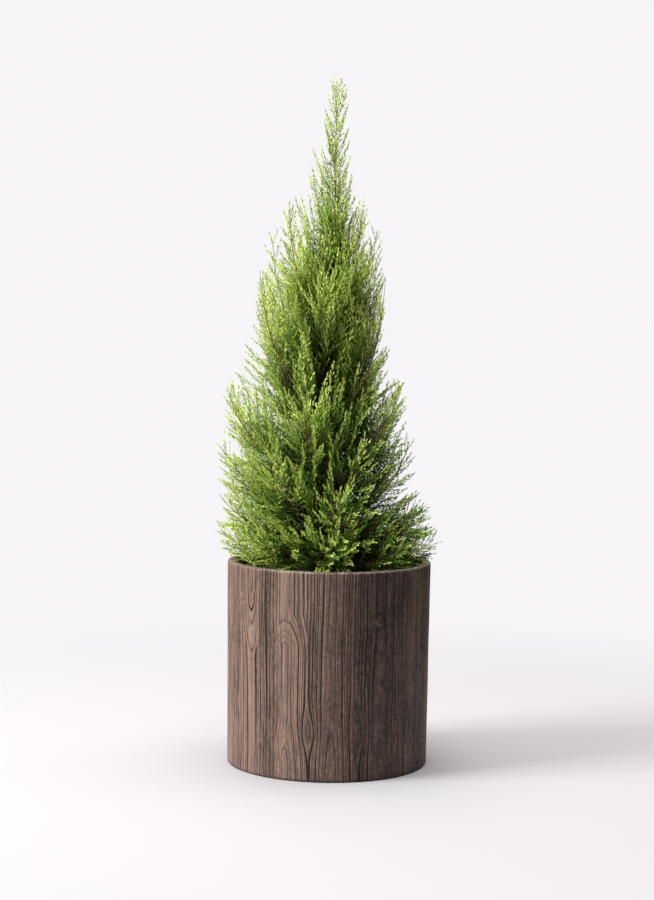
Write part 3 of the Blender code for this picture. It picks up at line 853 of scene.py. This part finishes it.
def wood_grain(turn, height):
    """How deep the grooves lie, from 0 on a ridge to 1, how near a knot is, and the board's tone."""
    turn = turn + sine(turn * 3.0 + height * 9.0) * 0.008 + sine(turn * 7.0 - height * 21.0) * 0.0040
    turn = turn + sine(height * 57.0 + turn * 5.0) * 0.0018 + sine(height * 151.0 + turn * 23.0) * 0.0008
    rings = None
    middle = None
    tone = 0.0
    calm = 0.0
    weights = 0.0
    for board in BOARDS:
        heart = board.heart[0][1]
        for (low, deep), (high, deeper) in zip(board.heart, board.heart[1:]):
            heart = limited((height - low) / (high - low)) * (deeper - deep) + heart
        run = squared_run(turn, board.turn)
        ring = root_of(run + heart * heart)
        rings = ring if rings is None else lesser(rings, ring)
        middle = run if middle is None else lesser(middle, run)
        weight = exponent(run * -BOARD_BLEND)
        tone = weight * board.tone + tone
        calm = weight * board.calm + calm
        weights = weight + weights
    eye = None
    for knot in KNOTS:
        tall = (height - knot.height) / knot.tall
        near = exponent(squared_run(turn, knot.turn) * (-1.0 / knot.wide**2) - tall * tall)
        rings = rings + near * knot.push
        eye = near if eye is None else greater(eye, near)
    rings = rings / GRAIN_SPACING
    rings = rings + sine(rings * 1.7 + turn * 4.0) * 0.26 + sine(rings * 4.1 - turn * 6.0 + 1.0) * 0.11
    count = floor_of(rings)
    groove = smooth(1.0 - size_of(rings - count - 0.5) / GRAIN_WIDTH)
    worn = sine(count * 2.4 + sine(turn * 4.0) * 2.0 + height * 9.0) * 0.34 + 0.62
    shallow = 1.0 - calm / weights * (1.0 - smooth(root_of(middle) / 0.026))
    return groove * worn * shallow, eye, tone / weights


def pot_material():
    material, tree, shader = new_material("cast_wood_grain", (0.1, 0.07, 0.05), 0.62, 0.30)
    x, y, z = position(tree)
    turn = angle_of(x, y * -1.0)
    groove, eye, tone = wood_grain(turn, z)
    streaks = noise(tree, (x * 30.0, y * 30.0, z * 1.3), 5.0, 5.0, 0.65)
    blotches = noise(tree, (x, y, z * 0.5), 22.0, 4.0, 0.6)
    grit = noise(tree, (x, y, z), 420.0, 2.0, 0.6)
    fine = noise(tree, (x * 9.0, y * 9.0, z * 0.30), 70.0, 3.0, 0.65)
    lines = noise(tree, (x * 9.0, y * 9.0, z * 0.35), 24.0, 4.0, 0.6)
    mottle = noise(tree, (x, y, z * 0.5), 170.0, 4.0, 0.75)
    tone = limited(tone + (streaks - 0.5) * 0.8 + (blotches - 0.5) * 1.1 + (mottle - 0.5) * 2.0)
    face = mixed(tree, tone, (0.034, 0.021, 0.016), (0.252, 0.160, 0.117))
    face = mixed(tree, limited(lines * 6.0 - 2.7) * 0.42, face, (0.034, 0.021, 0.017))
    face = mixed(tree, limited(fine * 5.0 - 2.3) * 0.62, face, (0.026, 0.018, 0.016))
    face = mixed(tree, limited((grit - 0.52) * 4.0) * 0.40, face, (0.25, 0.175, 0.135))
    face = mixed(tree, limited((0.46 - grit) * 5.0) * 0.50, face, (0.030, 0.020, 0.018))
    dark = limited(groove * 1.3 + (eye - 0.75) * 1.5 * limited(eye * 4.0 - 2.6))
    face = mixed(tree, dark, face, (0.014, 0.010, 0.010))
    rim = limited((z - (POT_HEIGHT - 0.004)) / 0.003)
    face = mixed(tree, limited(rim * (blotches * 1.4 - 0.2)), face, (0.105, 0.076, 0.062))
    # Light patches along the rim's outer edge: partly wear and partly a painted highlight on the rounded edge
    worn = limited((z - (POT_HEIGHT - 0.003)) / 0.002) * limited(mottle * 7.0 - 3.7)
    face = mixed(tree, worn, face, (0.34, 0.28, 0.25))
    # Painted shade: darker towards the bottom edge, where the planter stands on the floor
    face = mixed(tree, limited((0.007 - z) / 0.006) * 0.7, face, (0.020, 0.014, 0.012))
    set_input(tree, shader, "Base Color", face)
    set_input(tree, shader, "Roughness", limited(0.52 + groove * 0.25 + (grit - 0.5) * 0.25))
    set_bump(tree, shader, fine * 0.6 + grit * 0.25 - lines * 0.8 - groove * 1.2, 0.0010)
    return material


def outer_radius(height):
    return POT_BASE_RADIUS + (POT_TOP_RADIUS - POT_BASE_RADIUS) * height / POT_HEIGHT


def make_pot():
    """The planter with its grain in relief: outer face, rounded rim, inner wall and underside."""
    turns = math.tau * np.arange(POT_COLUMNS) / POT_COLUMNS
    rings = []
    edge = 0.0035
    corner = [(outer_radius(edge) - edge * (1.0 - math.cos(a)), edge * (1.0 - math.sin(a))) for a in
              np.linspace(math.pi / 2, 0.0, 5)]
    corner = [(radius, height) for radius, height in corner]
    profile = [(radius, height, 0.0) for radius, height in corner[:-1]]
    heights = np.linspace(edge, POT_HEIGHT - 0.004, POT_ROWS)
    profile += [(outer_radius(height), height, 1.0) for height in heights]
    top = POT_HEIGHT
    for angle in np.linspace(0.35, math.pi / 2, 4):
        profile.append(
            (outer_radius(top) - 0.004 * (1.0 - math.cos(angle)), top - 0.004 * (1.0 - math.sin(angle)), 0.6)
        )
    inner = POT_TOP_RADIUS - POT_WALL
    profile.append((inner + 0.009, top, 0.4))
    for angle in np.linspace(0.0, math.pi / 2, 4):
        profile.append((inner + 0.004 * (1.0 - math.sin(angle)), top - 0.004 * (1.0 - math.cos(angle)), 0.2))
    profile.append((inner - 0.0001, top - 0.012, 0.0))
    for radius, height, relief in profile:
        groove, eye, _ = wood_grain(turns, np.full_like(turns, height))
        chips = 0.0
        if relief and height > POT_HEIGHT - 0.006:
            chips = 0.5 * np.maximum(np.sin(37.0 * turns) * np.sin(61.0 * turns + 1.0) - 0.35, 0.0)
        swell = 0.25 * np.sin(5.0 * turns + 20.0 * height) + 0.2 * np.sin(11.0 * turns - 31.0 * height)
        deep = RELIEF * relief * (groove + 0.35 * (1.0 - np.exp(-3.0 * eye)) + 0.25 * swell + chips + 0.12)
        reach = radius - deep if relief else np.full_like(turns, radius)
        level = height - (0.4 * RELIEF * chips if relief else 0.0) + np.zeros_like(turns)
        rings.append(np.stack([reach * np.sin(turns), -reach * np.cos(turns), level], axis=1))
    count = len(rings)
    vertices = list(np.concatenate(rings))
    column = np.arange(POT_COLUMNS)
    after = (column + 1) % POT_COLUMNS
    faces = []
    for ring in range(count - 1):
        low = ring * POT_COLUMNS
        faces.append(np.stack([low + column, low + after, low + POT_COLUMNS + after], axis=1))
        faces.append(np.stack([low + column, low + POT_COLUMNS + after, low + POT_COLUMNS + column], axis=1))
    faces = list(np.concatenate(faces))
    step = POT_COLUMNS // POT_INNER_COLUMNS
    coarse = math.tau * np.arange(POT_INNER_COLUMNS) / POT_INNER_COLUMNS

    def plain_ring(radius, height):
        start = len(vertices)
        for turn in coarse:
            vertices.append(np.array((radius * math.sin(turn), -radius * math.cos(turn), height)))
        return start

    def fan_to(start, first, flip):
        for index in range(POT_INNER_COLUMNS):
            beside = (index + 1) % POT_INNER_COLUMNS
            for fine in range(step):
                one = first + index * step + fine
                two = first + (index * step + fine + 1) % POT_COLUMNS
                faces.append((two, one, start + index) if flip else (one, two, start + index))
            corner_one = first + (beside * step) % POT_COLUMNS
            triple = (start + index, corner_one, start + beside)
            faces.append(triple[::-1] if flip else triple)

    def disc(start, height, flip):
        vertices.append(np.array((0.0, 0.0, height)))
        centre = len(vertices) - 1
        for index in range(POT_INNER_COLUMNS):
            pair = (start + index, start + (index + 1) % POT_INNER_COLUMNS)
            faces.append((pair[1], pair[0], centre) if flip else (pair[0], pair[1], centre))

    under = plain_ring(POT_BASE_RADIUS - 0.012, 0.0)
    fan_to(under, 0, True)
    disc(under, 0.0, True)
    wall_top = plain_ring(inner - 0.0003, top - 0.020)
    fan_to(wall_top, (count - 1) * POT_COLUMNS, False)
    wall_foot = plain_ring(outer_radius(POT_FLOOR) - POT_WALL, POT_FLOOR)
    for index in range(POT_INNER_COLUMNS):
        beside = (index + 1) % POT_INNER_COLUMNS
        faces.append((wall_top + index, wall_top + beside, wall_foot + beside))
        faces.append((wall_top + index, wall_foot + beside, wall_foot + index))
    disc(wall_foot, POT_FLOOR, False)
    pot = mesh_object("pot", np.array(vertices), np.array(faces), [pot_material()])
    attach(pot, "root")
    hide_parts("planter")


# Soil

SOIL_RINGS = 62
SOIL_COLUMNS = 200


def soil_top(radius):
    """Height of the soil: level round the trunk, then falling to the wall."""
    edge = POT_TOP_RADIUS - POT_WALL
    flat = SOIL_LEVEL_SHARE * edge
    fall = np.clip((radius - flat) / (edge - flat), 0.0, 1.0)
    return POT_HEIGHT - SOIL_BELOW_RIM + SOIL_MOUND * (1.0 - fall)


def soil_material():
    material, tree, shader = new_material("potting_soil", (0.03, 0.02, 0.015), 0.95, 0.2)
    x, y, z = position(tree)
    fine = noise(tree, (x, y, z), 260.0, 4.0, 0.65)
    coarse = noise(tree, (x, y, z), 55.0, 3.0, 0.5)
    face = mixed(tree, limited(fine * 1.8 - 0.5), (0.012, 0.008, 0.006), (0.060, 0.036, 0.022))
    face = mixed(tree, limited(coarse * 3.0 - 1.7) * 0.7, face, (0.120, 0.070, 0.040))
    set_input(tree, shader, "Base Color", face)
    set_bump(tree, shader, fine + coarse * 0.5, 0.0015)
    return material


def make_soil():
    """Crumbly potting soil, with lighter brown patches in its colour."""
    dice = np.random.default_rng(31)
    edge = POT_TOP_RADIUS - POT_WALL - 2.0 * CLEARANCE - 0.0003
    radii = edge * np.linspace(0.0, 1.0, SOIL_RINGS) ** 0.8
    turns = math.tau * np.arange(SOIL_COLUMNS) / SOIL_COLUMNS
    waves = dice.uniform(60.0, 420.0, 40), dice.uniform(0.0, math.tau, 40), dice.uniform(0.0, math.tau, 40)
    grid = []
    for radius in radii[1:]:
        x, y = radius * np.cos(turns), radius * np.sin(turns)
        rough = np.zeros_like(turns)
        for rate, heading, phase in zip(*waves):
            rough += np.sin(rate * (x * math.cos(heading) + y * math.sin(heading)) + phase) * 14.0 / rate
        rough += dice.normal(0.0, 0.35, len(turns))
        height = soil_top(radius) - 0.0012 + 0.0005 * np.clip(rough, -2.0, 2.0)
        grid.append(np.stack([x, y, height], axis=1))
    foot = grid[-1].copy()
    foot[:, 2] = POT_FLOOR + 2.0 * CLEARANCE
    shrink = (outer_radius(POT_FLOOR) - POT_WALL - 2.0 * CLEARANCE) / edge
    foot[:, :2] *= shrink
    grid.append(foot)
    vertices = np.concatenate([[(0.0, 0.0, soil_top(0.0))], *grid, [(0.0, 0.0, foot[0, 2])]])
    column = np.arange(SOIL_COLUMNS)
    after = (column + 1) % SOIL_COLUMNS
    faces = [np.stack([np.zeros_like(column), 1 + column, 1 + after], axis=1)]
    for ring in range(len(grid) - 1):
        low = 1 + ring * SOIL_COLUMNS
        faces.append(np.stack([low + column, low + SOIL_COLUMNS + column, low + SOIL_COLUMNS + after], axis=1))
        faces.append(np.stack([low + column, low + SOIL_COLUMNS + after, low + after], axis=1))
    low = 1 + (len(grid) - 1) * SOIL_COLUMNS
    faces.append(np.stack([low + after, low + column, np.full_like(column, len(vertices) - 1)], axis=1))
    soil = mesh_object("soil_surface", vertices, np.concatenate(faces), [soil_material()])
    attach(soil, "root")
    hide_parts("soil")


# Bark, twigs and leaves

def bark_material():
    material, tree, shader = new_material("bark", (0.19, 0.08, 0.045), 0.8, 0.3)
    x, y, z = position(tree)
    strips = noise(tree, (x, y, z * 0.16), 420.0, 4.0, 0.6)
    patches = noise(tree, (x, y, z * 0.5), 60.0, 3.0, 0.5)
    face = mixed(tree, limited(strips * 2.0 - 0.55), (0.060, 0.026, 0.017), (0.235, 0.105, 0.060))
    face = mixed(tree, limited(patches * 2.4 - 1.15) * 0.6, face, (0.205, 0.150, 0.110))
    set_input(tree, shader, "Base Color", face)
    set_bump(tree, shader, strips + patches * 0.4, 0.0006)
    return material


def red_twig_material():
    material, tree, shader = new_material("young_bark", (0.20, 0.07, 0.035), 0.6, 0.3)
    x, y, z = position(tree)
    patches = noise(tree, (x, y, z), 90.0, 2.0, 0.5)
    face = mixed(tree, limited(patches * 2.4 - 0.7), (0.070, 0.034, 0.016), (0.230, 0.085, 0.035))
    set_input(tree, shader, "Base Color", face)
    return material


def green_twig_material():
    material, tree, shader = new_material("green_twig", (0.16, 0.22, 0.03), 0.55, 0.4)
    x, y, z = position(tree)
    patches = noise(tree, (x, y, z), 70.0, 2.0, 0.5)
    face = mixed(tree, limited(patches * 2.4 - 0.7), (0.070, 0.110, 0.015), (0.240, 0.290, 0.050))
    set_input(tree, shader, "Base Color", face)
    return material


def make_bark(plumes, materials):
    """The trunk with its fissured bark, and a whole stem for every plume, grown into the trunk."""
    sides, step = 30, 0.0026
    heights = np.arange(FOOT + 2.0 * CLEARANCE, TRUNK_TOP, step)
    angles = math.tau * np.arange(sides) / sides
    rows = []
    for height in heights:
        lobe = FLARE_LOBE_DEPTH * math.exp((FOOT - height) / (2.0 * FLARE_HEIGHT))
        radius = trunk_radius(height) * (1.0 + lobe * np.minimum(np.cos(FLARE_LOBES * angles), 0.0))
        fissure = np.sin(9.0 * angles + 25.0 * height + 1.5 * np.sin(70.0 * height))
        fissure += 0.6 * np.sin(14.0 * angles - 60.0 * height + 2.0 * np.sin(41.0 * height + 1.0))
        fissure += 0.5 * np.sin(5.0 * angles + 190.0 * height)
        radius = radius * (1.0 + 0.030 * (fissure - 1.6))
        centre = trunk_centre(height)
        rows.append(
            np.stack([centre.x + radius * np.cos(angles), centre.y + radius * np.sin(angles),
                      np.full(sides, height)], axis=1)
        )
    vertices = [np.concatenate(rows)]
    start = np.arange(len(heights) - 1)[:, None] * sides
    column = np.arange(sides)
    after = (column + 1) % sides
    quads = np.stack([start + column, start + after, start + sides + after, start + sides + column], axis=-1)
    faces = [quads.reshape(-1, 4)]
    indices = [np.zeros(len(faces[0]), dtype=int)]
    total = len(vertices[0])
    for plume in plumes:
        length = plume.path.length
        stops = max(int(length / 0.0045), 12)
        inward = 0.003 if plume.outward else 0.0
        distances = np.linspace(-inward, length, stops)
        points = np.array([
            np.array(plume.path.at(max(distance, 0.0)))
            + (np.array(plume.outward) * min(distance, 0.0) if plume.outward else 0.0)
            for distance in distances
        ])
        share = np.clip(distances / length, 0.0, 1.0)
        bare = max(plume.bare / length, 0.12)
        radii = plume.radius * np.interp(share, (0.0, bare, 1.0), (1.0, LIMB_END_SHARE, 0.14))
        if plume.outward:
            radii = radii * (1.0 + 0.7 * np.exp(-np.maximum(distances, 0.0) / 0.004))
        ripple = 1.0 + 0.05 * np.sin(900.0 * distances + plume.seed) * np.sin(370.0 * distances)
        tube, quads = tube_mesh(points[None], (radii * ripple)[None], 8)
        vertices.append(tube)
        faces.append(quads + total)
        total += len(tube)
        ring = np.repeat(np.arange(stops - 1), 8)
        indices.append(np.where(share[ring] < 0.30, 0, np.where(share[ring] < 0.72, 1, 2)))
    bark = mesh_object(
        "bark", np.concatenate(vertices), np.concatenate(faces), materials, np.concatenate(indices)
    )
    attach(bark, "root")
    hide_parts("trunk", *("bough_" + plume.name for plume in plumes if plume.bare))


def make_twigs(sprays, twiglets, light, materials):
    stops = 6
    shares = np.linspace(0.0, 1.0, stops)[None, :, None]
    points = sprays.root[:, None] + sprays.length[:, None, None] * (
        sprays.aim[:, None] * shares + sprays.bend[:, None] * shares**2
    )
    radii = (0.0005 + 0.005 * sprays.length)[:, None] * np.linspace(1.0, 0.3, stops)
    tubes, quads = tube_mesh(points, radii, 3)
    young = np.tile(np.repeat(np.arange(stops - 1), 3), len(points))
    limit = np.repeat(np.where(sprays.light < 0.6, 2, 1), 3 * (stops - 1))
    split = np.concatenate([quads[:, (0, 1, 2)], quads[:, (0, 2, 3)]])
    indices = np.tile(np.where(young < limit, 1, 2), 2)
    spikes, triangles = spike_mesh(twiglets.root, ends_of(twiglets), np.full(len(twiglets.root), 0.00045))
    vertices = np.concatenate([tubes, spikes])
    faces = np.concatenate([split, triangles + len(tubes)])
    indices = np.concatenate([indices, np.repeat(np.where(light < 0.28, 1, 2), 3)])
    twigs = mesh_object("twigs", vertices, faces, materials, indices)
    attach(twigs, "root")
    return len(faces)


def make_leaves(plumes, corners, light, owner):
    """The leaves in pieces of several plumes each, each sprig in one of the greens with its painted light and
    shade, less yellow low down.
    """
    reds = between((LOW_CROWN_RED, 1.0), np.linspace(0.0, 1.0, len(LEAF_GREENS_WITH_PAINTED_LIGHT)) ** 2)
    low_greens = [(red * part, green, blue) for part, (red, green, blue) in zip(reds, LEAF_GREENS_WITH_PAINTED_LIGHT)]
    greens = [
        new_material(f"leaf_green_{index + 1}", colour, 0.6, 0.15)[0]
        for index, colour in enumerate([*LEAF_GREENS_WITH_PAINTED_LIGHT, *low_greens])
    ]
    shades = (light * len(LEAF_GREENS_WITH_PAINTED_LIGHT)).astype(int)
    edge = LOW_CROWN + LOW_CROWN_MIX * (light * 1000.0 % 1.0 - 0.5)
    shades[corners[:, 0, 2] < edge] += len(LEAF_GREENS_WITH_PAINTED_LIGHT)
    counts = np.bincount(owner, minlength=len(plumes)) * 2
    groups = [[]]
    for index, count in enumerate(counts):
        if groups[-1] and counts[groups[-1]].sum() + count > PIECE_TRIANGLES:
            groups.append([])
        groups[-1].append(index)
    for number, group in enumerate(groups):
        mask = np.isin(owner, group)
        blades = corners[mask]
        first = 4 * np.arange(len(blades))[:, None]
        faces = np.concatenate([first + (0, 1, 2), first + (0, 2, 3)], axis=1).reshape(-1, 3)
        leaves = mesh_object(
            f"leaves_{number + 1}", blades.reshape(-1, 3), faces, greens, np.repeat(shades[mask], 2)
        )
        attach(leaves, "root")
        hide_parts(*("foliage_" + plumes[index].name for index in group))


def make_plant():
    plumes = plan_plumes()
    dice = np.random.default_rng(7)
    sprays = grow_sprays(plumes)
    twiglets, sprigs, light = grow_leaves(sprays, dice)
    corners, shade, owner = leaf_blades(sprigs, light, dice)
    materials = [bark_material(), red_twig_material(), green_twig_material()]
    make_bark(plumes, materials)
    twiglet_light = light[-len(twiglets.root):]
    twig_faces = make_twigs(sprays, twiglets, twiglet_light, materials)
    make_leaves(plumes, corners, shade, owner)
    print(
        f"sprays {len(sprays.root)}, twiglets {len(twiglets.root)}, sprigs {len(sprigs.root)}, "
        f"leaf triangles {2 * len(corners)}, twig triangles {twig_faces}"
    )


# Studio

BACKDROP = (0.925, 0.910, 0.930)
FILL = (1.0, 0.955, 0.94)
FILL_STRENGTH = 0.12


def make_floor():
    side = 4.0
    vertices = np.array([(-side, -side, 0.0), (side, -side, 0.0), (side, side, 0.0), (-side, side, 0.0)])
    material, tree, shader = new_material("studio_floor", (0.258, 0.257, 0.264), 0.9, 0.1)
    x, y, z = position(tree)
    away = root_of(x * x + y * y)
    clear = tree.nodes.new("ShaderNodeBsdfTransparent")
    blend = tree.nodes.new("ShaderNodeMixShader")
    fade = smooth((away - 0.6) / 1.3)
    tree.links.new(fade.socket, blend.inputs[0])
    tree.links.new(shader.outputs[0], blend.inputs[1])
    tree.links.new(clear.outputs[0], blend.inputs[2])
    tree.links.new(blend.outputs[0], tree.nodes["Material Output"].inputs["Surface"])
    floor = mesh_object("studio_floor", vertices, np.array([(0, 1, 2, 3)]), [material])
    floor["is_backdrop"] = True


def make_world():
    world = bpy.data.worlds.new("studio")
    world.use_nodes = True
    tree = world.node_tree
    seen = tree.nodes["Background"]
    seen.inputs["Color"].default_value = (*BACKDROP, 1.0)
    seen.inputs["Strength"].default_value = 1.0
    fill = tree.nodes.new("ShaderNodeBackground")
    fill.inputs["Color"].default_value = (*FILL, 1.0)
    fill.inputs["Strength"].default_value = FILL_STRENGTH
    path = tree.nodes.new("ShaderNodeLightPath")
    blend = tree.nodes.new("ShaderNodeMixShader")
    tree.links.new(path.outputs["Is Camera Ray"], blend.inputs[0])
    tree.links.new(fill.outputs[0], blend.inputs[1])
    tree.links.new(seen.outputs[0], blend.inputs[2])
    tree.links.new(blend.outputs[0], tree.nodes["World Output"].inputs["Surface"])
    bpy.context.scene.world = world


def make_light(name, place, target, size, power, colour):
    data = bpy.data.lights.new(name, "AREA")
    data.shape = "RECTANGLE"
    data.size, data.size_y = size
    data.energy = power
    data.color = colour
    light = bpy.data.objects.new(name, data)
    light.location = place
    light.rotation_euler = (Vector(target) - Vector(place)).to_track_quat("-Z", "Y").to_euler()
    bpy.context.scene.collection.objects.link(light)


def make_camera():
    data = bpy.data.cameras.new("camera")
    data.lens = 75.1
    data.sensor_width = 36.0
    camera = bpy.data.objects.new("camera", data)
    place = Matrix.Translation((-0.007, -3.497, 0.803))
    tilt = Euler((math.pi / 2.0 - 0.0624, 0.0, 0.0)).to_matrix().to_4x4()
    camera.matrix_world = place @ tilt @ Matrix.Rotation(0.01344, 4, "Z")
    bpy.context.scene.collection.objects.link(camera)
    bpy.context.scene.camera = camera


def make_studio():
    make_floor()
    make_world()
    make_light("key", (-5.0, -1.9, 4.0), (0.0, 0.0, 0.6), (2.4, 3.0), 840.0, (0.97, 0.99, 1.0))
    make_light("top", (-0.3, 0.2, 6.0), (0.0, 0.0, 0.0), (5.0, 5.0), 1100.0, (1.0, 0.942, 0.932))
    make_camera()
    bpy.context.scene.view_settings.view_transform = "Standard"


make_pot()
make_soil()
make_plant()
make_studio()
boxes = {"cad": CAD_BOX, "visual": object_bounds()}
{name: [list(corner) for corner in box] for name, box in boxes.items()}
